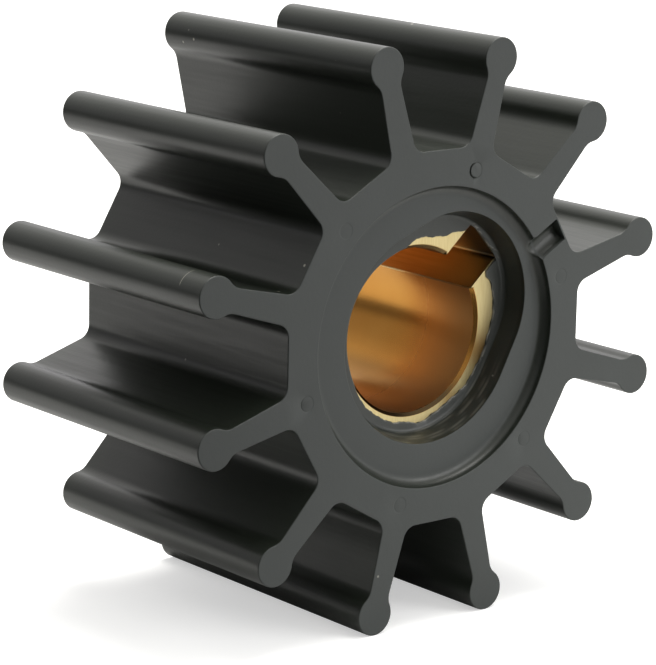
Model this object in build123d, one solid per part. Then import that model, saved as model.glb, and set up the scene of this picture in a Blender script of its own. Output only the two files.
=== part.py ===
"""Flexible impeller of a marine raw-water pump: a moulded rubber vane wheel bonded to a keyed brass bushing.

Each piece is modelled lying on its back, with its axis along Z and its keyed front end up. Angles are counted
from +X towards +Y. It is then stood up: the axis runs along Y, the front end looks towards -Y and +Z is up.
The origin is on the axis, halfway between the two ends. Lengths are in millimetres and angles in degrees.
"""

from build123d import *
import os
from math import acos, cos, degrees, hypot, radians, sin, tan

# Vane wheel
VANE_COUNT = 12
OVERALL_DIAMETER = 57.2
WHEEL_LENGTH = 31.5
HUB_ACROSS_FLATS = 35.5
BULB_DIAMETER = 3.92
VANE_ROOT_THICKNESS = 2.96
VANE_TIP_THICKNESS = 2.16
ROOT_FILLET = 1.4
NECK_FILLET = 1.75

# Shallow ring recess in each end of the hub
RING_DIAMETER = 28.6
RING_DEPTH = 1.1
RING_FILLET = 1.0

# Bushing, with a boss that backs the keyway
BORE_DIAMETER = 15.875
BORE_CHAMFER = 0.3
BUSHING_WALL = 2.65
BUSHING_SETBACK = 3.75
KEYWAY_WIDTH = 4.76
KEYWAY_DEPTH = 3.75
KEYWAY_ANGLE = 42
BOSS_OFFSET = 3.75
BOSS_WALL = 1.0

# Well that leads down to the bushing, and the thin rubber lip that laps over the bushing's face
WELL_RIM_INSET = 0.3
WELL_TAPER = 14
LIP_THICKNESS = 0.25
LIP_WIDTH = 0.8
LIP_WIDTH_AT_BOSS = 1.45

# Half-round vent groove in the front face, from the ring recess to one hub flat
GROOVE_ANGLE = 30
GROOVE_WIDTH = 2.4
GROOVE_DEPTH = 1.0
GROOVE_END_WALL = 0.2

# Shallow ejector marks on the front face, one behind every second vane
MARK_DIAMETER = 1.45
MARK_DEPTH = 0.12
MARK_CIRCLE_DIAMETER = 32.0

# Places that follow from the sizes above
VANE_PITCH = 360 / VANE_COUNT
FIRST_VANE = VANE_PITCH / 2
HUB_APOTHEM = HUB_ACROSS_FLATS / 2
BULB_CENTRE = (OVERALL_DIAMETER - BULB_DIAMETER) / 2
FACE_HEIGHT = WHEEL_LENGTH / 2
RING_FLOOR = FACE_HEIGHT - RING_DEPTH
BORE_RADIUS = BORE_DIAMETER / 2
BUSHING_RADIUS = BORE_RADIUS + BUSHING_WALL
BUSHING_LENGTH = WHEEL_LENGTH - 2 * BUSHING_SETBACK
BUSHING_FACE = BUSHING_LENGTH / 2
KEYWAY_REACH = BORE_RADIUS + KEYWAY_DEPTH
BOSS_RADIUS = hypot(KEYWAY_REACH - BOSS_OFFSET, KEYWAY_WIDTH / 2) + BOSS_WALL
LIP_TOP = BUSHING_FACE + LIP_THICKNESS
WELL_FOOT_INSET = WELL_RIM_INSET + (RING_FLOOR - LIP_TOP) * tan(radians(WELL_TAPER))


def upright(piece):
    """Stand a piece up, so that its front end looks towards -Y."""
    return Plane.XZ * piece


def both_ends(tool):
    """A cutting tool for the front end, with its mirror image for the back end."""
    return tool + mirror(tool, about=Plane.XY)


def egg(round_inset, boss_inset):
    """Outline round the bushing: a circle about the axis and one about the boss, joined by tangents."""
    round_radius = BUSHING_RADIUS - round_inset
    boss_radius = BOSS_RADIUS - boss_inset
    turn = degrees(acos((round_radius - boss_radius) / BOSS_OFFSET))
    back = CenterArc((0, 0), round_radius, turn, 360 - 2 * turn)
    nose = CenterArc((BOSS_OFFSET, 0), boss_radius, -turn, 2 * turn)
    sides = [Line(nose @ 1, back @ 0), Line(back @ 1, nose @ 0)]
    return Rot(Z=KEYWAY_ANGLE) * make_face([back, nose, *sides])


def prism(outline, bottom, top):
    """Straight solid on an outline, between two heights."""
    return Pos(0, 0, bottom) * extrude(outline, top - bottom)


def keyway(half_length):
    """Square key's slot, from the axis out to the keyway's floor."""
    slot = Pos(KEYWAY_REACH / 2, 0) * Box(KEYWAY_REACH, KEYWAY_WIDTH, 2 * half_length)
    return Rot(Z=KEYWAY_ANGLE) * slot


def vane_outline():
    """One vane along X: flanks that taper from the hub out to a round bulb, with a soft neck."""
    root = VANE_ROOT_THICKNESS / 2
    tip = VANE_TIP_THICKNESS / 2
    blade = Polygon((HUB_APOTHEM, root), (HUB_APOTHEM, -root), (BULB_CENTRE, -tip), (BULB_CENTRE, tip), align=None)
    vane = blade + Pos(BULB_CENTRE, 0) * Circle(BULB_DIAMETER / 2)
    necks = vane.vertices().filter_by(lambda corner: HUB_APOTHEM < corner.X < BULB_CENTRE)
    return fillet(necks, NECK_FILLET)


def wheel_outline():
    """Hub with one flat between each pair of vanes, and a fillet on each side of every vane's root."""
    hub = RegularPolygon(HUB_APOTHEM, VANE_COUNT, major_radius=False, rotation=FIRST_VANE)
    wheel = hub + PolarLocations(0, VANE_COUNT, start_angle=FIRST_VANE) * vane_outline()
    waist = (HUB_APOTHEM + BULB_CENTRE) / 2
    roots = wheel.vertices().filter_by(lambda corner: hypot(corner.X, corner.Y) < waist)
    return fillet(roots, ROOT_FILLET)


def ring_recess():
    """Round recess with a filleted foot, turned about the axis."""
    rim = RING_DIAMETER / 2
    with BuildPart() as recess:
        with BuildSketch(Plane.XZ):
            with Locations((0, FACE_HEIGHT)):
                Rectangle(rim, RING_DEPTH, align=(Align.MIN, Align.MAX))
            foot = vertices().group_by(Axis.Y)[0].sort_by(Axis.X)[-1]
            fillet(foot, RING_FILLET)
        revolve(axis=Axis.Z)
    return recess.part


def well():
    """Tapered well from the ring recess down to the lip."""
    rim = Pos(0, 0, RING_FLOOR) * egg(WELL_RIM_INSET, WELL_RIM_INSET)
    foot = Pos(0, 0, LIP_TOP) * egg(WELL_FOOT_INSET, WELL_FOOT_INSET)
    return loft([foot, rim], ruled=True)


def lip_opening():
    """Opening that leaves the bushing's face bare round the bore."""
    bare = egg(WELL_FOOT_INSET + LIP_WIDTH, WELL_FOOT_INSET + LIP_WIDTH_AT_BOSS)
    return prism(bare, BUSHING_FACE, LIP_TOP)


def vent_groove():
    """Round-bottomed groove that runs outwards along the front face, up to a thin wall at the hub's flat."""
    radius = (GROOVE_WIDTH ** 2 / 4 + GROOVE_DEPTH ** 2) / (2 * GROOVE_DEPTH)
    inner_end = RING_DIAMETER / 2 - RING_FILLET / 2
    length = HUB_ACROSS_FLATS / 2 - GROOVE_END_WALL - inner_end
    rod = Cylinder(radius, length, rotation=(0, 90, 0), align=(Align.CENTER, Align.CENTER, Align.MIN))
    return Rot(Z=GROOVE_ANGLE) * Pos(inner_end, 0, FACE_HEIGHT + radius - GROOVE_DEPTH) * rod


def ejector_marks():
    """Ring of shallow round marks, each in line with a vane."""
    mark = Pos(0, 0, FACE_HEIGHT) * Cylinder(MARK_DIAMETER / 2, 2 * MARK_DEPTH)
    return PolarLocations(MARK_CIRCLE_DIAMETER / 2, VANE_COUNT // 2, start_angle=FIRST_VANE) * mark


def rubber_body():
    """Vane wheel, hollowed for the bushing and recessed at both ends."""
    body = prism(wheel_outline(), -FACE_HEIGHT, FACE_HEIGHT)
    body -= prism(egg(0, 0), -BUSHING_FACE, BUSHING_FACE)
    body -= both_ends(ring_recess())
    body -= both_ends(well())
    body -= both_ends(lip_opening())
    body -= keyway(LIP_TOP)
    body -= vent_groove()
    body -= ejector_marks()
    return body


def brass_bushing():
    """Bushing with a through bore, chamfered at both ends, and a keyway along its whole length."""
    body = prism(egg(0, 0), -BUSHING_FACE, BUSHING_FACE)
    body -= Cylinder(BORE_RADIUS, BUSHING_LENGTH)
    mouth = Cone(BORE_RADIUS, BORE_RADIUS + BORE_CHAMFER, BORE_CHAMFER, align=(Align.CENTER, Align.CENTER, Align.MAX))
    body -= both_ends(Pos(0, 0, BUSHING_FACE) * mouth)
    body -= keyway(BUSHING_FACE)
    return body


os.makedirs("parts", exist_ok=True)
export_step(upright(rubber_body()), "parts/rubber_body.step")
export_step(upright(brass_bushing()), "parts/brass_bushing.step")
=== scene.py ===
"""Looks of a flexible pump impeller: a moulded rubber vane wheel on a turned brass bushing.

Shapes are worked out in millimetres and put into the meshes in metres. The wheel's axis runs along Y, its
keyed front end looks towards -Y, and Z is up. A depth is counted from the front face inwards, and an angle
about the axis from +X towards +Z. Wear and finish are numbers from 0 to 1 at each point of a mesh, and the
materials read them as attributes.
"""

import math
import bpy
import numpy as np
from mathutils import Matrix, Vector
from mathutils.geometry import delaunay_2d_cdt


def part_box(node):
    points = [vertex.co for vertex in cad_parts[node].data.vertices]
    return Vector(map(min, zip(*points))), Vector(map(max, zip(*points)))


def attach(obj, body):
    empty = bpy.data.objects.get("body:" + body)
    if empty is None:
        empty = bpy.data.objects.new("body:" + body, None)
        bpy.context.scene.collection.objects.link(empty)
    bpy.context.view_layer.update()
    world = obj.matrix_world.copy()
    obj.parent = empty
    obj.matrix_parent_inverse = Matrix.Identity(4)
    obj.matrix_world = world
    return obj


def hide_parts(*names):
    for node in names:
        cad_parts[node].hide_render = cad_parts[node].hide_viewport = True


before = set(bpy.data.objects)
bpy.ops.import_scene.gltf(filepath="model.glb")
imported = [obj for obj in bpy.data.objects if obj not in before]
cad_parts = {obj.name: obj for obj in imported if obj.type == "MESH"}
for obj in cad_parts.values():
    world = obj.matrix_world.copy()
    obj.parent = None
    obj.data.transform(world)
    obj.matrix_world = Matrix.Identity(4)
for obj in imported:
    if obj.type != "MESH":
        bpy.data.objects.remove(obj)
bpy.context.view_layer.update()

MM = 0.001

# ---------------------------------------------------------------- sizes, in millimetres and degrees

VANE_COUNT = 12
OVERALL_DIAMETER = 57.2
HUB_ACROSS_FLATS = 35.5
BULB_DIAMETER = 3.92
VANE_ROOT_THICKNESS = 2.96
VANE_TIP_THICKNESS = 2.16
ROOT_FILLET = 1.4
NECK_FILLET = 1.75
WHEEL_LENGTH = (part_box("rubber_body")[1][1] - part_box("rubber_body")[0][1]) / MM

RING_DIAMETER = 28.6
RING_DEPTH = 1.1
RING_FILLET = 1.0

BORE_DIAMETER = 15.875
BORE_CHAMFER = 0.3
BUSHING_LENGTH = (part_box("brass_bushing")[1][1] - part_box("brass_bushing")[0][1]) / MM
BUSHING_WALL = 2.65
KEYWAY_WIDTH = 4.76
KEYWAY_DEPTH = 3.75
KEYWAY_ANGLE = 42
KEYWAY_CHAMFER = 0.08
KEYWAY_FILLET = 0.25
KEYWAY_BURR = 0.12
BOSS_OFFSET = 3.75
BOSS_WALL = 1.0

WELL_RIM_INSET = 0.3
WELL_FOOT_INSET = 0.8
WELL_FOOT_FILLET = 0.45
WELL_RIPPLE = 0.025
LIP_THICKNESS = 0.25
LIP_SAG = 0.06
LIP_ROUNDING = 0.1

GROOVE_ANGLE = 30
GROOVE_WIDTH = 2.4
GROOVE_DEPTH = 1.0
GROOVE_END_WALL = 0.2
GROOVE_END_SLOPE = 0.08
MARK_DIAMETER = 1.45
MARK_CIRCLE_DIAMETER = 32.0
MARK_FLOOR_DEPTH = 0.02
MARK_RING_DEPTHS = (0.03, 0.2, 0.01, 0.05, 0.03, 0.05)
MARK_RING_WIDTH = 0.12
MARK_EDGE_WIDTH = 0.06

NICKED_VANE = 165
NICK_DEPTH = 3.2
NICK_WIDTH = 0.07
EDGE_ROUNDING = 0.1
RIM_ROUNDING = 0.09
HOLDING_STRIP = 0.05
GROUND_DEPTH = 0.08

HUB_APOTHEM = HUB_ACROSS_FLATS / 2
BULB_RADIUS = BULB_DIAMETER / 2
BULB_CENTRE = OVERALL_DIAMETER / 2 - BULB_RADIUS
HALF_PITCH = math.pi / VANE_COUNT
RING_RADIUS = RING_DIAMETER / 2
MARK_RADIUS = MARK_DIAMETER / 2
GROOVE_END = HUB_APOTHEM - GROOVE_END_WALL
BORE_RADIUS = BORE_DIAMETER / 2
BUSHING_RADIUS = BORE_RADIUS + BUSHING_WALL
BUSHING_DEPTH = (WHEEL_LENGTH - BUSHING_LENGTH) / 2
LIP_DEPTH = BUSHING_DEPTH - LIP_THICKNESS
KEYWAY_REACH = BORE_RADIUS + KEYWAY_DEPTH
BOSS_RADIUS = math.hypot(KEYWAY_REACH - BOSS_OFFSET, KEYWAY_WIDTH / 2) + BOSS_WALL
REST_HEIGHT = BULB_CENTRE * math.cos(HALF_PITCH) + BULB_RADIUS

# ---------------------------------------------------------------- mesh tools


def turned(points, angle):
    """Points of a plane, turned about the origin by an angle in radians."""
    c, s = math.cos(angle), math.sin(angle)
    return points @ np.array([[c, s], [-s, c]])


def band(first, rows, columns):
    """Quads of a grid that is closed round its columns, as vertex numbers counted from first."""
    row = np.arange(rows - 1)[:, None] * columns
    here = np.arange(columns)[None, :]
    beside = (here + 1) % columns
    quads = np.stack([row + here, row + beside, row + columns + beside, row + columns + here], axis=2)
    return first + quads.reshape(-1, 4)


def signed_volume(points, triangles):
    """Volume inside a closed mesh, negative if its faces point inwards."""
    a, b, c = (points[triangles[:, k]] for k in range(3))
    return np.einsum("ij,ij->i", a, np.cross(b, c)).sum() / 6


def solid(name, points, quads, triangles, material, stands_for, edge_angle=40, finishes=None):
    """A closed mesh from millimetre points, with its faces turned outwards and smooth up to an edge angle.

    Each finish holds one number a point, which the material reads as the attribute of that name.
    """
    split = np.concatenate([quads[:, [0, 1, 2]], quads[:, [0, 2, 3]], triangles])
    if signed_volume(points, split) < 0:
        quads = quads[:, ::-1]
        triangles = triangles[:, ::-1]
    mesh = bpy.data.meshes.new(name)
    mesh.from_pydata((points * MM).tolist(), [], quads.tolist() + triangles.tolist())
    for label, values in (finishes or {}).items():
        mesh.attributes.new(label, "FLOAT", "POINT").data.foreach_set("value", values)
    mesh.shade_smooth()
    mesh.set_sharp_from_angle(angle=math.radians(edge_angle))
    piece = bpy.data.objects.new(name, mesh)
    bpy.context.scene.collection.objects.link(piece)
    mesh.materials.append(material)
    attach(piece, "root")
    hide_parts(stands_for)
    return piece


def smooth_step(low, high, value):
    """0 below low, 1 above high and a soft rise between: 3t^2 - 2t^3."""
    t = np.clip((value - low) / (high - low), 0, 1)
    return t * t * (3 - 2 * t)


def stretch(rise, fall, value):
    """1 between a soft rise and a soft fall, each given by its two ends, and 0 outside them."""
    return smooth_step(*rise, value) * (1 - smooth_step(*fall, value))


def quarter(count):
    """Sines and cosines of a quarter turn in even steps, both ends included."""
    turn = np.linspace(0, math.pi / 2, count)
    return np.sin(turn), np.cos(turn)


# ---------------------------------------------------------------- outline of the vane wheel


def arc(centre, radius, start, stop, count, bulges):
    """Points on an arc and its outward normals. A fillet's normals look towards its own centre."""
    turn = np.linspace(start, stop, count)
    away = np.stack([np.cos(turn), np.sin(turn)], axis=1)
    return centre + radius * away, away if bulges else -away


def straight(start, stop, normal, count):
    """Points between two ends, with one normal."""
    t = np.linspace(0, 1, count)[:, None]
    return start + (stop - start) * t, np.repeat(normal[None, :], count, axis=0)


def half_sector():
    """Half of the outline of one vane along X: hub flat, root fillet, flank, neck fillet and bulb.

    Each fillet's centre lies its own radius away from both lines or arcs that it joins.
    """
    flat_normal = np.array([math.cos(HALF_PITCH), math.sin(HALF_PITCH)])
    root = np.array([HUB_APOTHEM, VANE_ROOT_THICKNESS / 2])
    bulb = np.array([BULB_CENTRE, 0.0])
    along = np.array([BULB_CENTRE - HUB_APOTHEM, (VANE_TIP_THICKNESS - VANE_ROOT_THICKNESS) / 2])
    along /= np.linalg.norm(along)
    flank_normal = np.array([-along[1], along[0]])
    lines = np.array([flat_normal, flank_normal])
    away = [HUB_APOTHEM + ROOT_FILLET, flank_normal @ root + ROOT_FILLET]
    root_centre = np.linalg.solve(lines, away)
    start = root + flank_normal * NECK_FILLET - bulb
    half_b = start @ along
    reach = -half_b - math.sqrt(half_b ** 2 - start @ start + (BULB_RADIUS + NECK_FILLET) ** 2)
    neck_centre = bulb + start + along * reach
    to_neck = (neck_centre - bulb) / (BULB_RADIUS + NECK_FILLET)
    flat_turn = math.atan2(-flat_normal[1], -flat_normal[0])
    flank_turn = math.atan2(-flank_normal[1], -flank_normal[0])
    neck_turn = math.atan2(-to_neck[1], -to_neck[0])
    flank_start = root_centre - ROOT_FILLET * flank_normal
    flank_end = neck_centre - NECK_FILLET * flank_normal
    runs = [
        straight(HUB_APOTHEM * flat_normal, root_centre - ROOT_FILLET * flat_normal, flat_normal, 14),
        arc(root_centre, ROOT_FILLET, flat_turn, flank_turn, 9, False),
        straight(flank_start, flank_end, flank_normal, 12),
        arc(neck_centre, NECK_FILLET, flank_turn, neck_turn, 8, False),
        arc(bulb, BULB_RADIUS, math.atan2(to_neck[1], to_neck[0]), 0, 20, True),
    ]
    points = np.concatenate([run[0][:-1] for run in runs] + [runs[-1][0][-1:]])
    normals = np.concatenate([run[1][:-1] for run in runs] + [runs[-1][1][-1:]])
    return points, normals


def wheel_outline():
    """Closed outline of the wheel and its outward normals, counted from +X towards +Z."""
    points, normals = half_sector()
    mirror = np.array([1.0, -1.0])
    sector = [np.concatenate([(part * mirror)[:-1], part[::-1][:-1]]) for part in (points, normals)]
    turns = [HALF_PITCH * (2 * k + 1) for k in range(VANE_COUNT)]
    return tuple(np.concatenate([turned(part, turn) for turn in turns]) for part in sector)


# ---------------------------------------------------------------- what is sunk into the front face


def groove_depth(x, z):
    """Depth of the vent groove: a circular arc across its width, up to a steep end inside the hub's flat."""
    angle = math.radians(GROOVE_ANGLE)
    along = x * math.cos(angle) + z * math.sin(angle)
    across = -x * math.sin(angle) + z * math.cos(angle)
    radius = (GROOVE_WIDTH ** 2 / 4 + GROOVE_DEPTH ** 2) / (2 * GROOVE_DEPTH)
    depth = np.sqrt(np.maximum(radius ** 2 - across ** 2, 0)) - radius + GROOVE_DEPTH
    before_end = 1 - smooth_step(GROOVE_END - GROOVE_END_SLOPE, GROOVE_END, along)
    in_groove = (along > 0) & (np.abs(across) < GROOVE_WIDTH / 2)
    return np.where(in_groove, np.maximum(depth, 0) * before_end, 0)


def mark_places():
    """Centres of the ejector marks, one in line with every second vane."""
    turns = HALF_PITCH * (1 + 4 * np.arange(VANE_COUNT // 2))
    return MARK_CIRCLE_DIAMETER / 2 * np.stack([np.cos(turns), np.sin(turns)], axis=1)


def mark_depth(x, z):
    """Depth of the ejector marks: shallow flat discs, each in a fine ring that is cut deepest at -X."""
    depth = np.zeros_like(x)
    for place, sunk in zip(mark_places(), MARK_RING_DEPTHS):
        away = np.hypot(x - place[0], z - place[1])
        slant = np.clip(0.5 - 0.5 * (x - place[0]) / MARK_RADIUS, 0, 1)
        ring = 1 - smooth_step(0.0, MARK_RING_WIDTH, np.abs(away - MARK_RADIUS))
        disc = 1 - smooth_step(MARK_RADIUS - MARK_EDGE_WIDTH, MARK_RADIUS + MARK_EDGE_WIDTH, away)
        depth += MARK_FLOOR_DEPTH * disc + sunk * slant * ring
    return depth


def mark_wall_shade(x, z):
    """Painted shade: 1 on an ejector mark's wall where it is deep, 0 on its bottom and round it."""
    full_depth = 0.12
    wall = np.zeros_like(x)
    for place, sunk in zip(mark_places(), MARK_RING_DEPTHS):
        off_wall = np.abs(np.hypot(x - place[0], z - place[1]) - MARK_RADIUS)
        slant = 0.5 - 0.5 * (x - place[0]) / MARK_RADIUS
        wall += np.clip(slant * sunk / full_depth, 0, 1) * (1 - smooth_step(0.03, 0.1, off_wall))
    return wall


def front_depth(x, z):
    """Depth of everything that is sunk into the flat part of the front face."""
    return np.maximum(groove_depth(x, z), mark_depth(x, z))


# ---------------------------------------------------------------- egg-shaped outlines round the bushing


def from_keyway(turn):
    """How far an angle about the axis lies from the keyway's middle, to either side."""
    return np.abs((turn - math.radians(KEYWAY_ANGLE) + math.pi) % (2 * math.pi) - math.pi)


def egg_radius(turn, inset=0.0):
    """Distance from the axis to the egg round the bushing, drawn in by an inset.

    A circle about the boss at the nose, a tangent line beside it, and a circle about the axis behind.
    """
    round_radius = BUSHING_RADIUS - inset
    boss_radius = BOSS_RADIUS - inset
    off = from_keyway(turn)
    tangent = math.acos((round_radius - boss_radius) / BOSS_OFFSET)
    nose_end = math.atan2(boss_radius * math.sin(tangent), BOSS_OFFSET + boss_radius * math.cos(tangent))
    half_chord = np.sqrt(np.maximum(boss_radius ** 2 - (BOSS_OFFSET * np.sin(off)) ** 2, 0))
    nose = BOSS_OFFSET * np.cos(off) + half_chord
    side = round_radius / np.cos(np.minimum(off - tangent, 0))
    return np.where(off < nose_end, nose, side)


def corner_place():
    """Distance and angle, from the axis and the keyway's middle, of the centre of its corner's fillet."""
    along = KEYWAY_REACH - KEYWAY_FILLET
    across = KEYWAY_WIDTH / 2 - KEYWAY_FILLET
    return math.hypot(along, across), math.atan2(across, along)


def fillet_ends():
    """Angles from the keyway's middle at which its corner's fillet meets the floor and the wall."""
    return (math.atan2(KEYWAY_WIDTH / 2 - KEYWAY_FILLET, KEYWAY_REACH),
            math.atan2(KEYWAY_WIDTH / 2, KEYWAY_REACH - KEYWAY_FILLET))


def burr_ends():
    """Angles from the keyway's middle between which its edge is rounded over into the bore."""
    away = BORE_RADIUS + KEYWAY_BURR
    across = KEYWAY_WIDTH / 2 + KEYWAY_BURR
    return math.atan2(KEYWAY_WIDTH / 2, math.sqrt(away ** 2 - across ** 2)), math.asin(across / away)


def bore_radius(turn, wall_gap=0.0):
    """Distance from the axis to the wall of the keyed bore: bore circle, keyway wall or keyway floor.

    With no gap beside the keyway's walls, its corners and edges are rounded too. A corner's fillet is the
    far side of a circle in the corner, and a rounded edge is the near side of a circle in the brass.
    """
    off = from_keyway(turn)
    half_width = KEYWAY_WIDTH / 2 + wall_gap
    corner = math.atan2(half_width, KEYWAY_REACH)
    edge = math.asin(half_width / BORE_RADIUS)
    wall = half_width / np.sin(np.maximum(off, corner))
    floor = KEYWAY_REACH / np.cos(np.minimum(off, corner))
    radius = np.where(off <= corner, floor, np.where(off < edge, wall, BORE_RADIUS))
    if wall_gap:
        return radius
    away, centre = corner_place()
    half_chord = np.sqrt(np.maximum(KEYWAY_FILLET ** 2 - (away * np.sin(off - centre)) ** 2, 0))
    low, high = fillet_ends()
    fillet = np.minimum(radius, away * np.cos(off - centre) + half_chord)
    radius = np.where((off > low) & (off < high), fillet, radius)
    away = BORE_RADIUS + KEYWAY_BURR
    start, stop = burr_ends()
    half_chord = np.sqrt(np.maximum(KEYWAY_BURR ** 2 - (away * np.sin(off - stop)) ** 2, 0))
    return np.where((off >= start) & (off < stop), away * np.cos(off - stop) - half_chord, radius)


def lip_edge(turn):
    """Distance from the axis to the edge of the rubber lip, a hair outside the keyway where it meets it.

    The edge is ragged. It follows corners that are listed, as angle and radius, with three fine ripples
    on top, and it runs calm where it meets the bore.
    """
    corners = np.array([
        (-180, 8.0), (-160, 8.05), (-150, 8.15), (-142, 8.35), (-132, 8.6), (-124, 8.55), (-115, 8.75),
        (-95, 8.72), (-88, 8.9), (-80, 9.05), (-74, 8.9), (-60, 8.68), (-50, 8.95), (-40, 9.12),
        (-30, 9.25), (-15, 9.5), (0, 9.95), (8, 10.2), (15, 10.35), (21, 10.25), (25, 10.0),
        (30.5, 10.4), (31.5, 12.0), (33.5, 12.2), (36.5, 11.9), (38, 11.0), (54, 11.0), (57, 10.7),
        (61, 10.25), (66, 9.45), (75, 9.1), (86, 8.85), (93, 8.5), (98, 8.12), (110, 8.0), (140, 7.97),
        (180, 8.0)])
    wall_gap = 0.1
    ripple = 0.05 * np.sin(17 * turn + 1.0) + 0.035 * np.sin(41 * turn) + 0.02 * np.sin(97 * turn + 2.0)
    edge = np.interp(np.degrees(turn), corners[:, 0], corners[:, 1])
    edge += ripple * smooth_step(8.05, 8.6, edge)
    return np.maximum(edge, bore_radius(turn, wall_gap) + 0.02)


# ---------------------------------------------------------------- rubber body


def side_rows():
    """Inset and depth of each row of the wheel's outside, from the front face to the back face.

    Quarter circles round both edges. Three of the rows between them hold the nick.
    """
    sines, cosines = quarter(6)
    inset = np.concatenate([[EDGE_ROUNDING + HOLDING_STRIP], EDGE_ROUNDING * (1 - sines), [0.0]])
    depth = np.concatenate([[0.0], EDGE_ROUNDING * (1 - cosines), [EDGE_ROUNDING + HOLDING_STRIP]])
    middle = np.linspace(0, 1, 7)[1:-1]
    run = depth[-1] + (WHEEL_LENGTH - 2 * depth[-1]) * middle
    run = np.sort(np.concatenate([run, NICK_DEPTH + NICK_WIDTH * np.array([-1, 0, 1])]))
    return (np.concatenate([inset, np.zeros(len(run)), inset[::-1]]),
            np.concatenate([depth, run, WHEEL_LENGTH - depth[::-1]]))


def wheel_sides():
    """Outside of the wheel: the outline, drawn in by each row's inset along its own normals."""
    outline, normals = wheel_outline()
    inset, depth = side_rows()
    plan = outline[None] - inset[:, None, None] * normals[None]
    return plan, np.repeat(depth[:, None], plan.shape[1], axis=1)


def nick(plan, depth):
    """1 along a fine scratch part of the way round one vane's bulb, and 0 elsewhere."""
    start, stop = 95, 158
    angle = math.radians(NICKED_VANE)
    away = plan - BULB_CENTRE * np.array([math.cos(angle), math.sin(angle)])
    turn = np.degrees(np.arctan2(away[..., 1], away[..., 0]))
    on_bulb = np.hypot(away[..., 0], away[..., 1]) < BULB_RADIUS + 0.01
    return on_bulb & (turn > start) & (turn < stop) & (np.abs(depth - NICK_DEPTH) < 0.01)


def recess_rows(turn):
    """Radius and depth of each row of an end's round recess: rounded rim, filleted foot and flat floor."""
    sines, cosines = quarter(6)
    level = np.ones_like(turn)
    rows = [((RING_RADIUS + RIM_ROUNDING + HOLDING_STRIP) * level, 0.0)]
    for s, c in zip(sines, cosines):
        rows.append(((RING_RADIUS + RIM_ROUNDING * (1 - s)) * level, RIM_ROUNDING * (1 - c)))
    sines, cosines = quarter(12)
    for s, c in zip(sines, cosines):
        depth = RING_DEPTH - RING_FILLET + RING_FILLET * s
        if depth > RIM_ROUNDING + 0.02:
            rows.append(((RING_RADIUS - RING_FILLET * (1 - c)) * level, depth))
    foot = RING_RADIUS - RING_FILLET
    floor_end = egg_radius(turn, WELL_RIM_INSET) + RIM_ROUNDING + HOLDING_STRIP
    rows += [(foot + (floor_end - foot) * t, RING_DEPTH) for t in (0.05, 0.5, 1.0)]
    return rows


def well_rows(turn):
    """Radius and depth of each row of an end's well: rounded rim, ridged taper and filleted foot."""
    rim = egg_radius(turn, WELL_RIM_INSET)
    sines, cosines = quarter(6)
    rows = []
    for s, c in zip(sines, cosines):
        rows.append((rim + RIM_ROUNDING * (1 - s), RING_DEPTH + RIM_ROUNDING * (1 - c)))
    wall_top = RING_DEPTH + RIM_ROUNDING
    wall_end = LIP_DEPTH - WELL_FOOT_FILLET
    for k, t in enumerate((0.1, 0.2, 0.3, 0.4, 0.5, 0.6, 0.7, 0.85, 1.0)):
        inset = WELL_RIM_INSET + (WELL_FOOT_INSET - WELL_RIM_INSET) * t + WELL_RIPPLE * (k % 2)
        rows.append((egg_radius(turn, inset), wall_top + (wall_end - wall_top) * t))
    for s, c in zip(sines[1:], cosines[1:]):
        inset = WELL_FOOT_INSET + WELL_FOOT_FILLET * (1 - c)
        rows.append((egg_radius(turn, inset), wall_end + WELL_FOOT_FILLET * s))
    return rows


def lip_rows(turn, start):
    """Radius and depth of each row of an end's lip, from the well's foot to the edge and out to the seat."""
    edge = lip_edge(turn)
    brink = edge + LIP_ROUNDING
    low = LIP_DEPTH + LIP_SAG
    rows = [(start + (brink - start) * t, LIP_DEPTH + LIP_SAG * t) for t in (0.25, 0.6, 0.85, 1.0)]
    rows.append((edge + 0.3 * LIP_ROUNDING, low + 0.4 * LIP_ROUNDING))
    rows.append((edge, low + LIP_ROUNDING))
    rows.append((edge, BUSHING_DEPTH))
    rows.append((egg_radius(turn), BUSHING_DEPTH))
    return rows


def scuffs_and_lip_highlight(turn, radius, depth):
    """Scuff patches on the ridges of the front hollow's lower wall, and a broken painted highlight on the
    lip's edge.
    """
    on_wall = (depth > RING_DEPTH + RIM_ROUNDING + 0.05) & (depth < LIP_DEPTH - 0.1)
    at_edge = np.abs(radius - lip_edge(turn)) < 0.04
    row = np.arange(len(radius))[:, None]
    low = stretch((-165, -125), (-40, -15), np.degrees(turn))
    patches = np.clip(0.3 + 0.6 * np.sin(7 * turn + row) + 0.5 * np.sin(19 * turn + 2.3 * row), 0, 1)
    # Pale stretches along the lip's edge paint a highlight there.
    edge_highlight = np.clip(0.6 + 0.5 * np.sin(31 * turn), 0, 1)
    return np.maximum(0.22 * low * patches * on_wall * (row % 2), 0.6 * edge_highlight * at_edge)


def hub_hollow(columns=480):
    """Inside of the hub: front hollow, bushing's seat, back hollow, its scuff patches and the lip edge's
    painted highlight.
    """
    turn = np.linspace(-math.pi, math.pi, columns, endpoint=False)
    rows = recess_rows(turn) + well_rows(turn)
    rows += lip_rows(turn, rows[-1][0])
    radius = np.stack([row[0] for row in rows])
    depth = np.stack([np.full(turn.shape, row[1]) for row in rows])
    plan = radius[..., None] * np.stack([np.cos(turn), np.sin(turn)], axis=1)[None]
    grooved = np.maximum(depth, groove_depth(plan[..., 0], plan[..., 1]) * (depth < RING_DEPTH))
    scuffs_and_highlight = scuffs_and_lip_highlight(turn, radius, depth)
    return (np.concatenate([plan, plan[::-1]]),
            np.concatenate([grooved, WHEEL_LENGTH - depth[::-1]]),
            np.concatenate([scuffs_and_highlight, np.zeros_like(scuffs_and_highlight)]))


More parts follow.
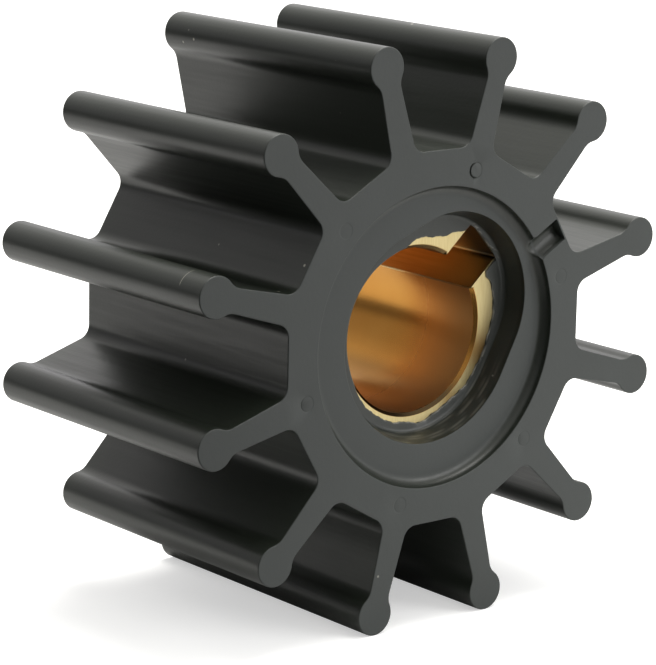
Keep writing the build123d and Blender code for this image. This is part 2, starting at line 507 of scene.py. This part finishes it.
def groove_points():
    """Points along the groove, closer together across it and at its steep end than along it."""
    across = np.linspace(-1, 1, 25) * GROOVE_WIDTH / 2
    even = np.linspace(RING_RADIUS + 0.35, GROOVE_END - 0.3, 9)
    steep = GROOVE_END - np.array([0.12, 0.08, 0.04, 0.0])
    along = np.concatenate([even, steep])
    grid = np.stack(np.meshgrid(along, across), axis=2).reshape(-1, 2)
    return turned(grid, math.radians(GROOVE_ANGLE))


def mark_points():
    """Rings of points where the walls of the ejector marks rise."""
    turn = np.linspace(0, 2 * math.pi, 36, endpoint=False)
    circle = np.stack([np.cos(turn), np.sin(turn)], axis=1)
    radii = MARK_RADIUS + MARK_RING_WIDTH * np.array([-1, -0.5, -0.25, 0, 0.25, 0.5, 1])
    rings = (radii[:, None, None] * circle[None]).reshape(-1, 2)
    return np.concatenate([place + rings for place in mark_places()])


def loop_edges(first, count):
    """Edges of a closed loop of vertices."""
    return [(first + k, first + (k + 1) % count) for k in range(count)]


def ring_triangles(outer, inner, between):
    """Triangles of the flat ring between two loops, through the points between them.

    They are numbers into all three in turn. The inner loop is a circle, and the triangles that would fill
    it are left out by their middles.
    """
    flat = np.concatenate([outer, inner, between])
    edges = loop_edges(0, len(outer)) + loop_edges(len(outer), len(inner))
    result = delaunay_2d_cdt([Vector(point) for point in flat.tolist()], edges, [], 1, 1e-7)
    number = np.array([sources[0] for sources in result[3]])
    triangles = number[np.array(result[2])]
    middles = flat[triangles].mean(axis=1)
    return triangles[np.hypot(middles[:, 0], middles[:, 1]) > 1.001 * np.hypot(*inner[0])]


def end_faces(side_plan, hollow_plan, between):
    """Triangles of both flat ends, as numbers into the side's points, the hollow's and those between."""
    n_side = side_plan.shape[1]
    n_hollow = hollow_plan.shape[1]
    side_count = side_plan.shape[0] * n_side
    hollow_count = hollow_plan.shape[0] * n_hollow
    front = np.concatenate([
        np.arange(n_side),
        side_count + np.arange(n_hollow),
        side_count + hollow_count + np.arange(len(between)),
    ])
    back = np.concatenate([
        side_count - n_side + np.arange(n_side),
        side_count + hollow_count - n_hollow + np.arange(n_hollow),
    ])
    front = front[ring_triangles(side_plan[0], hollow_plan[0], between)]
    back = back[ring_triangles(side_plan[-1], hollow_plan[-1], between[:0])]
    return np.concatenate([front, back[:, ::-1]])


def ground_finish(depth, flat_depth=0.0):
    """1 where a point lies level with a flat at the given depth of either end, falling to 0 close by."""
    level = np.abs(np.minimum(depth, WHEEL_LENGTH - depth) - flat_depth)
    return 1 - smooth_step(0.0, GROUND_DEPTH, level)


def ground_rows(side_depth, hollow_depth):
    """How ground the outside and the hollow are, row by row: fully on the flats, a little in the wells."""
    well_dullness = 0.3
    side_row = side_depth.min(axis=1)
    hollow_row = hollow_depth.min(axis=1)
    in_well = np.minimum(hollow_row, WHEEL_LENGTH - hollow_row) > RING_DEPTH + 0.3
    hollow_finish = np.maximum.reduce([
        ground_finish(hollow_row), ground_finish(hollow_row, RING_DEPTH), well_dullness * in_well])
    return np.concatenate([np.repeat(ground_finish(side_row), side_depth.shape[1]),
                           np.repeat(hollow_finish, hollow_depth.shape[1])])


def rubber_body(material):
    """Vane wheel: its outside and its hollow as two bands that close round the axis, joined by flat faces.

    Attributes:
    ground: 1 on the flats of both ends, which are ground matt, 0.3 in the wells, 0 on the moulded skin, and
    0 as painted shade on the deep walls of the ejector marks.
    scuffed: the nick in one bulb, the pale scuff patches of the front hollow, and a painted highlight on the
    lip's edge.
    """
    side_plan, side_depth = wheel_sides()
    hollow_plan, hollow_depth, scuffs_and_highlight = hub_hollow()
    between = np.concatenate([groove_points(), mark_points()])
    x, z = between.T
    plan = np.concatenate([side_plan.reshape(-1, 2), hollow_plan.reshape(-1, 2), between])
    depth = np.concatenate([side_depth.ravel(), hollow_depth.ravel(), front_depth(x, z)])
    points = np.stack([plan[:, 0], depth - WHEEL_LENGTH / 2, plan[:, 1]], axis=1)
    quads = np.concatenate([
        band(0, *side_depth.shape),
        band(side_depth.size, *hollow_depth.shape)[:, ::-1],
    ])
    # The groove keeps the dark skin colour, and so do the ejector marks' deep walls, as painted shade.
    sunk = np.maximum(smooth_step(0.01, 0.2, groove_depth(x, z)), mark_wall_shade(x, z))
    ground = np.concatenate([ground_rows(side_depth, hollow_depth), 1 - sunk])
    nicked = 0.6 * nick(side_plan, side_depth)
    pale = np.concatenate([nicked.ravel(), scuffs_and_highlight.ravel(), np.zeros_like(sunk)])
    triangles = end_faces(side_plan, hollow_plan, between)
    return solid("rubber_wheel", points, quads, triangles, material, "rubber_body",
                 finishes={"ground": ground, "scuffs_and_highlight": pale})


# ---------------------------------------------------------------- brass bushing


def bushing_columns():
    """Angles of the bushing's columns: even round the bore, and closer in the keyway's corners and edges."""
    low, high = fillet_ends()
    start, stop = burr_ends()
    floor = np.linspace(0, low, 8)[:-1]
    fillet = np.linspace(low, high, 9)[:-1]
    wall = np.linspace(high, start, 12)[:-1]
    burr = np.linspace(start, stop, 6)
    half = np.concatenate([floor, fillet, wall, burr])
    rest = np.linspace(stop, 2 * math.pi - stop, 360)[1:-1]
    return math.radians(KEYWAY_ANGLE) + np.concatenate([half, rest, 2 * math.pi - half[:0:-1]])


def bushing_rows(turn):
    """Radius and depth of each row: outer edge, face and chamfer at the front, bore, and the same behind."""
    bore = bore_radius(turn)
    egg = egg_radius(turn)
    chamfer = np.where(bore > BORE_RADIUS + 1e-6, KEYWAY_CHAMFER, BORE_CHAMFER)
    mouth = bore + chamfer
    level = np.full_like(turn, BUSHING_DEPTH)
    front = [(egg, level + 0.4), (egg, level)]
    front += [(mouth + (egg - mouth) * t, level) for t in (0.6, 0.25, 0.02)]
    front += [(mouth, level), (bore, level + chamfer)]
    back = [(radius, WHEEL_LENGTH - depth) for radius, depth in front[::-1]]
    close = [BORE_CHAMFER + 0.02, 0.6, 1.0, 1.4, 2.0]
    steps = np.concatenate([close, np.linspace(2.8, BUSHING_LENGTH - 2, 18)])
    rows = front + [(bore, level + step) for step in steps] + back
    return np.stack([row[0] for row in rows]), np.stack([row[1] for row in rows])


def bushing_finishes(turn, depth):
    """How the brass is finished and worn, and where light and shade are painted on it, as four attributes.

    filed_and_glint: the end faces; as painted highlights, the top of the chamfer by half and a glint on a
    stretch of the keyway's lower edge.
    broached: the keyway.
    smeared: darker over the front of the keyway's floor and in a band low in the bore; painted shade on the
    chamfer from the left round to the bottom, and on the keyway's edges near the front, which dims them.
    handled: the bore, most at its front end, two browned stretches of the front face, and the top of the
    chamfer as a painted highlight.
    """
    face = np.zeros_like(depth)
    face[2:5] = 1
    face[-5:-2] = 1
    inwards = depth - BUSHING_DEPTH
    degrees = np.degrees((turn + math.pi) % (2 * math.pi) - math.pi)
    off = from_keyway(turn)
    in_keyway = bore_radius(turn) > BORE_RADIUS + 1e-6
    on_chamfer = (inwards < BORE_CHAMFER + 0.01) & ~in_keyway
    # Where the chamfer's top is painted lighter, as if lit from above.
    lit_top = smooth_step(50, 65, degrees)
    on_floor = off < fillet_ends()[1]
    start, stop = burr_ends()
    on_burr = (off >= start) & (off <= stop + 1e-6)

    broached = in_keyway * (1 - face)
    smeared_and_shade = np.maximum.reduce([
        # Darker over the front of the keyway's floor, full to 1.4 mm in and gone by 6 mm.
        broached * on_floor * (1 - smooth_step(1.4, 6.0, inwards)),
        # Painted shade: the chamfer is dark from the left round to the bottom and fades out towards the
        # right.
        on_chamfer * (0.9 - 0.85 * smooth_step(-60, -20, degrees)),
        # Darker in a band low in the bore, rising from 3 mm in to full by 11 mm.
        0.4 * stretch((-80, -62), (-54, -40), degrees) * smooth_step(3, 11, inwards),
        # Painted shade on the keyway's edges near the front, which dims their highlight.
        0.8 * on_burr * (1 - smooth_step(7, 11, inwards)),
    ]) * (1 - face)
    right = 0.9 * np.exp(-((degrees + 19) / 11) ** 2)
    lower = 0.7 * np.exp(-((degrees + 56) / 7) ** 2)
    # On the chamfer only its top takes this greyer colour, as a painted highlight.
    handled_and_lit = (1 - smooth_step(0.0, 10.0, inwards)) * (1 - face) * np.where(on_chamfer, lit_top, 1)
    handled_and_lit += face * np.maximum(right, lower) * (inwards < BUSHING_LENGTH / 2)
    # A painted glint on a stretch of the keyway's lower edge, 9.5 to 13.5 mm in.
    rubbed_and_glint = on_burr & (degrees < KEYWAY_ANGLE)
    filed_and_glint = np.maximum.reduce([
        face,
        # Half the pale face colour on the chamfer's top, as a painted highlight.
        0.5 * on_chamfer * lit_top,
        rubbed_and_glint * stretch((9.5, 10.5), (12.5, 13.5), inwards),
    ])
    return {"filed_and_glint": filed_and_glint, "broached": broached, "smeared_and_shade": smeared_and_shade, "handled_and_lit": handled_and_lit}


def brass_bushing(material):
    """Bushing: one band of rows, closed from the last row back to the first over the hidden outside."""
    turn = bushing_columns()
    radius, depth = bushing_rows(turn)
    points = np.stack([radius * np.cos(turn), depth - WHEEL_LENGTH / 2, radius * np.sin(turn)], axis=2)
    columns = len(turn)
    last = radius.size - columns
    here = np.arange(columns)
    beside = (here + 1) % columns
    outside = np.stack([last + here, last + beside, beside, here], axis=1)
    quads = np.concatenate([band(0, *radius.shape), outside])
    finishes = {label: values.ravel() for label, values in bushing_finishes(turn, depth).items()}
    return solid("bushing", points.reshape(-1, 3), quads, np.zeros((0, 3), dtype=int),
                 material, "brass_bushing", edge_angle=25, finishes=finishes)


# ---------------------------------------------------------------- materials


def linear(hex_colour):
    """Linear colour of an sRGB hex value."""
    parts = [int(hex_colour[k:k + 2], 16) / 255 for k in (1, 3, 5)]
    return [p / 12.92 if p <= 0.04045 else ((p + 0.055) / 1.055) ** 2.4 for p in parts] + [1.0]


def add(tree, kind, inputs=None, **settings):
    """A node with its settings. An input is a plain value, or the output socket that feeds it."""
    node = tree.nodes.new(kind)
    for name, value in settings.items():
        setattr(node, name, value)
    for name, value in (inputs or {}).items():
        socket = node.inputs[name]
        if isinstance(value, bpy.types.NodeSocket):
            tree.links.new(value, socket)
        else:
            socket.default_value = value
    return node


def empty_material(name):
    """A material with nothing in it but its output."""
    material = bpy.data.materials.new(name)
    material.use_nodes = True
    material.node_tree.nodes.clear()
    output = add(material.node_tree, "ShaderNodeOutputMaterial")
    return material, material.node_tree, output


def per_mm(millimetres):
    """Texture scale, in cycles a metre, of a pattern that repeats every so many millimetres."""
    return 1 / (millimetres * MM)


def moulded_neoprene():
    """Black neoprene, moulded in a polished steel tool, with its two end faces ground matt.

    The moulded skin is nearly black. Its soft gloss mirrors pale surroundings at a glancing view, and it has
    fine streaks along the axis, as it left the tool. The ground faces are dark grey with a faint green cast.
    A few pale specks are dust, the front well has light scuff marks, and a highlight is painted on the lip's
    edge. The skin's dark colour also paints shade in the deep walls of the ejector marks.
    """
    material, tree, output = empty_material("moulded_neoprene")
    place = add(tree, "ShaderNodeTexCoord").outputs["Object"]
    ground = add(tree, "ShaderNodeAttribute", attribute_name="ground").outputs["Fac"]
    scuffs_and_highlight = add(tree, "ShaderNodeAttribute", attribute_name="scuffs_and_highlight").outputs["Fac"]

    # Colour: skin or ground face, each a little cloudy
    clouds = add(tree, "ShaderNodeTexNoise", {
        "Vector": place, "Scale": per_mm(7), "Detail": 4.0, "Roughness": 0.6})
    skin = add(tree, "ShaderNodeMix", {
        "Factor": clouds.outputs["Fac"], "A": linear("#171b15"), "B": linear("#1c221a")}, data_type="RGBA")
    face = add(tree, "ShaderNodeMix", {
        "Factor": clouds.outputs["Fac"], "A": linear("#323634"), "B": linear("#383c3b")}, data_type="RGBA")
    # Where ground is 0 on the ejector marks' deep walls, the skin colour there is painted shade.
    both = add(tree, "ShaderNodeMix", {
        "Factor": ground, "A": skin.outputs["Result"], "B": face.outputs["Result"]}, data_type="RGBA")

    # Dust: a speck 0.2 mm across in about every tenth cell of 2.2 mm
    cells = add(tree, "ShaderNodeTexVoronoi", {"Vector": place, "Scale": per_mm(2.2)})
    near = add(tree, "ShaderNodeMapRange", {
        "Value": cells.outputs["Distance"], "From Min": 0.03, "From Max": 0.08,
        "To Min": 1.0, "To Max": 0.0})
    chance = add(tree, "ShaderNodeSeparateColor", {"Color": cells.outputs["Color"]})
    few = add(tree, "ShaderNodeMath", {0: chance.outputs["Red"], 1: 0.9}, operation="GREATER_THAN")
    speck = add(tree, "ShaderNodeMath", {
        0: near.outputs["Result"], 1: few.outputs["Value"]}, operation="MULTIPLY")
    # This also paints the pale highlight on the lip's edge.
    marked = add(tree, "ShaderNodeMath", {0: speck.outputs["Value"], 1: scuffs_and_highlight}, operation="MAXIMUM")
    colour = add(tree, "ShaderNodeMix", {
        "Factor": marked.outputs["Value"], "A": both.outputs["Result"], "B": linear("#a09d92")},
        data_type="RGBA")

    # Gloss and relief: streaks 0.5 mm wide and 25 times as long, and a grain of 0.35 mm
    drawn = add(tree, "ShaderNodeMapping", {"Vector": place, "Scale": (1.0, 0.04, 1.0)})
    streaks = add(tree, "ShaderNodeTexNoise", {
        "Vector": drawn.outputs["Vector"], "Scale": per_mm(0.5), "Detail": 3.0})
    polish = add(tree, "ShaderNodeMapRange", {
        "Value": streaks.outputs["Fac"], "From Min": 0.3, "From Max": 0.7, "To Min": 0.33, "To Max": 0.42})
    rough = add(tree, "ShaderNodeMapRange", {
        "Value": ground, "To Min": polish.outputs["Result"], "To Max": 0.6})
    grain = add(tree, "ShaderNodeTexNoise", {"Vector": place, "Scale": per_mm(0.35), "Detail": 3.0})
    relief = add(tree, "ShaderNodeMath", {
        0: grain.outputs["Fac"], 1: streaks.outputs["Fac"]}, operation="ADD")
    bump = add(tree, "ShaderNodeBump", {
        "Height": relief.outputs["Value"], "Strength": 0.25, "Distance": 0.03 * MM})
    shader = add(tree, "ShaderNodeBsdfPrincipled", {
        "Base Color": colour.outputs["Result"], "Roughness": rough.outputs["Result"],
        "Normal": bump.outputs["Normal"], "IOR": 1.52, "Specular IOR Level": 0.5})
    tree.links.new(shader.outputs["BSDF"], output.inputs["Surface"])
    return material


def turned_brass():
    """Free-cutting brass: a turned bore, a broached keyway and end faces worked with a fine file.

    The bore is deep orange with soft tarnish, and greyer and duller towards the front end, worn there by
    handling. The keyway has tool lines along it, and the front of its floor is darker. A band low in the
    bore is darker too. The end faces are pale, with short fine scratches, and brown in two places. Painted
    light
    and shade: the chamfer is pale on top and dark from the left round to the bottom, the keyway's edges are
    dimmed near the front, and a glint is painted on its lower edge.
    """
    material, tree, output = empty_material("turned_brass")
    place = add(tree, "ShaderNodeTexCoord").outputs["Object"]
    filed_and_glint = add(tree, "ShaderNodeAttribute", attribute_name="filed_and_glint").outputs["Fac"]
    broached = add(tree, "ShaderNodeAttribute", attribute_name="broached").outputs["Fac"]
    handled_and_lit = add(tree, "ShaderNodeAttribute", attribute_name="handled_and_lit").outputs["Fac"]
    smeared_and_shade = add(tree, "ShaderNodeAttribute", attribute_name="smeared_and_shade").outputs["Fac"]

    # Patterns: file strokes 0.2 mm wide, tool lines 0.4 mm wide and tarnish in clouds of 5 mm
    stretched = add(tree, "ShaderNodeMapping", {
        "Vector": place, "Rotation": (0, 0.5, 0), "Scale": (1.0, 1.0, 0.1)})
    strokes = add(tree, "ShaderNodeTexNoise", {
        "Vector": stretched.outputs["Vector"], "Scale": per_mm(0.2), "Detail": 3.0})
    along = add(tree, "ShaderNodeMapping", {"Vector": place, "Scale": (1.0, 0.05, 1.0)})
    tool_lines = add(tree, "ShaderNodeTexNoise", {
        "Vector": along.outputs["Vector"], "Scale": per_mm(0.4), "Detail": 2.0})
    tarnish = add(tree, "ShaderNodeTexNoise", {"Vector": place, "Scale": per_mm(5), "Detail": 3.0})

    # Colour: bore or keyway, under smears and painted shade, or else the pale face colour, also used for
    # painted highlights
    clean = add(tree, "ShaderNodeMix", {
        "Factor": tarnish.outputs["Fac"], "A": linear("#b57c36"), "B": linear("#c69046")}, data_type="RGBA")
    # Greyer where worn by handling, and on the chamfer's top as a painted highlight.
    turned_bore = add(tree, "ShaderNodeMix", {
        "Factor": handled_and_lit, "A": clean.outputs["Result"], "B": linear("#8c7c5c")}, data_type="RGBA")
    deep_slot = add(tree, "ShaderNodeMix", {
        "Factor": tool_lines.outputs["Fac"], "A": linear("#c09050"), "B": linear("#e0b070")},
        data_type="RGBA")
    slot = add(tree, "ShaderNodeMix", {
        "Factor": handled_and_lit, "A": deep_slot.outputs["Result"], "B": linear("#b5a473")}, data_type="RGBA")
    bare = add(tree, "ShaderNodeMix", {
        "Factor": broached, "A": turned_bore.outputs["Result"], "B": slot.outputs["Result"]},
        data_type="RGBA")
    # Smears, the darker patches and painted shade all take this dark colour.
    inside = add(tree, "ShaderNodeMix", {
        "Factor": smeared_and_shade, "A": bare.outputs["Result"], "B": linear("#36352c")}, data_type="RGBA")
    rubbed_and_glint = add(tree, "ShaderNodeMix", {
        "Factor": strokes.outputs["Fac"], "A": linear("#b39f70"), "B": linear("#d2c596")}, data_type="RGBA")
    browned = add(tree, "ShaderNodeMix", {
        "Factor": handled_and_lit, "A": rubbed_and_glint.outputs["Result"], "B": linear("#9a7a4a")}, data_type="RGBA")
    # The pale face colour also paints the chamfer's top and the keyway's glint as highlights.
    colour = add(tree, "ShaderNodeMix", {
        "Factor": filed_and_glint, "A": inside.outputs["Result"], "B": browned.outputs["Result"]}, data_type="RGBA")

    # Gloss: the bore dulls where it is worn by handling, then come the keyway and the end faces
    worn = add(tree, "ShaderNodeMapRange", {"Value": handled_and_lit, "To Min": 0.24, "To Max": 0.38})
    dull = add(tree, "ShaderNodeMapRange", {
        "Value": broached, "To Min": worn.outputs["Result"], "To Max": 0.34})
    rough = add(tree, "ShaderNodeMapRange", {
        "Value": filed_and_glint, "To Min": dull.outputs["Result"], "To Max": 0.42})
    scratches = add(tree, "ShaderNodeMix", {
        "Factor": filed_and_glint, "A": tool_lines.outputs["Fac"], "B": strokes.outputs["Fac"]}, data_type="FLOAT")
    bump = add(tree, "ShaderNodeBump", {
        "Height": scratches.outputs["Result"], "Strength": 0.2, "Distance": 0.02 * MM})
    shader = add(tree, "ShaderNodeBsdfPrincipled", {
        "Base Color": colour.outputs["Result"], "Roughness": rough.outputs["Result"],
        "Normal": bump.outputs["Normal"], "Metallic": 1.0})
    tree.links.new(shader.outputs["BSDF"], output.inputs["Surface"])
    return material


# ---------------------------------------------------------------- surroundings, in metres

WHITE = (1.0, 1.0, 1.0, 1.0)
COOL = (0.985, 0.965, 1.0, 1.0)
WARM = (1.0, 0.99, 0.94, 1.0)


def white_table():
    """Matt white sheet that the wheel stands on.

    What the camera sees of it is lifted to white outside shadows. The sheet is cut away in front of the
    wheel on the left, so that less light comes up to the vanes there.
    """
    material, tree, output = empty_material("white_table")
    matt = add(tree, "ShaderNodeBsdfDiffuse", {"Color": linear("#e0e0e0")})
    lift = add(tree, "ShaderNodeEmission", {"Color": WHITE, "Strength": 0.5})
    both = add(tree, "ShaderNodeAddShader", {0: matt.outputs["BSDF"], 1: lift.outputs["Emission"]})
    ray = add(tree, "ShaderNodeLightPath")
    seen = add(tree, "ShaderNodeMixShader", {
        "Fac": ray.outputs["Is Camera Ray"], 1: matt.outputs["BSDF"], 2: both.outputs["Shader"]})
    tree.links.new(seen.outputs["Shader"], output.inputs["Surface"])
    mesh = bpy.data.meshes.new("table")
    corners = ((-0.16, 0.08), (0.0, -0.045), (0.06, -0.4), (0.5, -0.4), (0.5, 0.5), (-0.16, 0.5))
    mesh.from_pydata([(x, y, -REST_HEIGHT * MM) for x, y in corners], [], [tuple(range(len(corners)))])
    table = bpy.data.objects.new("table", mesh)
    bpy.context.scene.collection.objects.link(table)
    mesh.materials.append(material)


def soft_box(name, place, size, power, tint):
    """Square lamp that looks at the wheel."""
    lamp = bpy.data.lights.new(name, "AREA")
    lamp.size = size
    lamp.energy = power
    lamp.color = tint
    holder = bpy.data.objects.new(name, lamp)
    holder.location = place
    holder.rotation_euler = (-Vector(place)).to_track_quat("-Z", "Y").to_euler()
    bpy.context.scene.collection.objects.link(holder)


def studio():
    """White studio: bright overhead and behind the wheel, darker in front, and plain white to the camera.

    A ray's direction gives its light: the brighter of the ceiling, which grows with Z, and the backdrop,
    which grows with Y, fades out towards the floor and is brightest at +X.
    """
    world = bpy.data.worlds.new("studio")
    world.use_nodes = True
    tree = world.node_tree
    tree.nodes.clear()
    output = add(tree, "ShaderNodeOutputWorld")
    looking = add(tree, "ShaderNodeSeparateXYZ", {
        "Vector": add(tree, "ShaderNodeTexCoord").outputs["Generated"]})
    ray = add(tree, "ShaderNodeLightPath")
    above = add(tree, "ShaderNodeMapRange", {
        "Value": looking.outputs["Z"], "From Min": 0.15, "From Max": 0.8, "To Min": 0.12, "To Max": 1.0})
    behind = add(tree, "ShaderNodeMapRange", {
        "Value": looking.outputs["Y"], "From Min": 0.3, "From Max": 0.6, "To Min": 0.1, "To Max": 1.0})
    aside = add(tree, "ShaderNodeMapRange", {
        "Value": looking.outputs["X"], "From Min": -0.5, "From Max": 0.5, "To Min": 0.5, "To Max": 1.6})
    raised = add(tree, "ShaderNodeMapRange", {
        "Value": looking.outputs["Z"], "From Min": 0.03, "From Max": 0.15, "To Min": 0.05, "To Max": 1.0})
    rising = add(tree, "ShaderNodeMath", {
        0: behind.outputs["Result"], 1: raised.outputs["Result"]}, operation="MULTIPLY")
    backdrop = add(tree, "ShaderNodeMath", {
        0: rising.outputs["Value"], 1: aside.outputs["Result"]}, operation="MULTIPLY")
    light = add(tree, "ShaderNodeMath", {
        0: above.outputs["Result"], 1: backdrop.outputs["Value"]}, operation="MAXIMUM")
    strength = add(tree, "ShaderNodeMix", {
        "Factor": ray.outputs["Is Camera Ray"], "A": light.outputs["Value"], "B": 1.0}, data_type="FLOAT")
    tint = add(tree, "ShaderNodeMix", {
        "Factor": above.outputs["Result"], "A": COOL, "B": WARM}, data_type="RGBA")
    shade = add(tree, "ShaderNodeMix", {
        "Factor": ray.outputs["Is Camera Ray"], "A": tint.outputs["Result"], "B": WHITE}, data_type="RGBA")
    glow = add(tree, "ShaderNodeBackground", {
        "Color": shade.outputs["Result"], "Strength": strength.outputs["Result"]})
    tree.links.new(glow.outputs["Background"], output.inputs["Surface"])
    bpy.context.scene.world = world
    soft_box("overhead", (0.15, 0.05, 0.6), 0.4, 4.5, (1.0, 0.99, 0.95))
    soft_box("front", (0.38, -0.5, 0.25), 0.4, 2.1, (1.0, 1.0, 0.99))


def camera():
    """Long lens, a little above the wheel and to its left.

    Seen from a lens at the origin that looks along +Y, the wheel is turned about Z, tilted about X, rolled
    about Y and then set off. The camera is placed the other way round, with the wheel at rest.
    """
    azimuth, elevation, roll = (math.radians(angle) for angle in (39.083, 12.623, 1.102))
    offset = Vector((0.379, 293.3, 2.322)) * MM
    focal_pixels = 3022.5
    picture_height = 665
    tilt = Matrix.Rotation(roll, 3, "Y") @ Matrix.Rotation(elevation, 3, "X")
    turn = tilt @ Matrix.Rotation(azimuth, 3, "Z")
    right, forward, up = turn.row
    axes = Matrix((right, up, -forward)).transposed().to_4x4()
    lens = bpy.data.cameras.new("camera")
    lens.lens = focal_pixels / picture_height * lens.sensor_width
    lens.clip_start = 0.01
    eye = bpy.data.objects.new("camera", lens)
    eye.matrix_world = Matrix.Translation(-(turn.transposed() @ offset)) @ axes
    bpy.context.scene.collection.objects.link(eye)
    bpy.context.scene.camera = eye


camera()
studio()
white_table()
rubber_body(moulded_neoprene())
brass_bushing(turned_brass())
bpy.context.scene.view_settings.view_transform = "Standard"
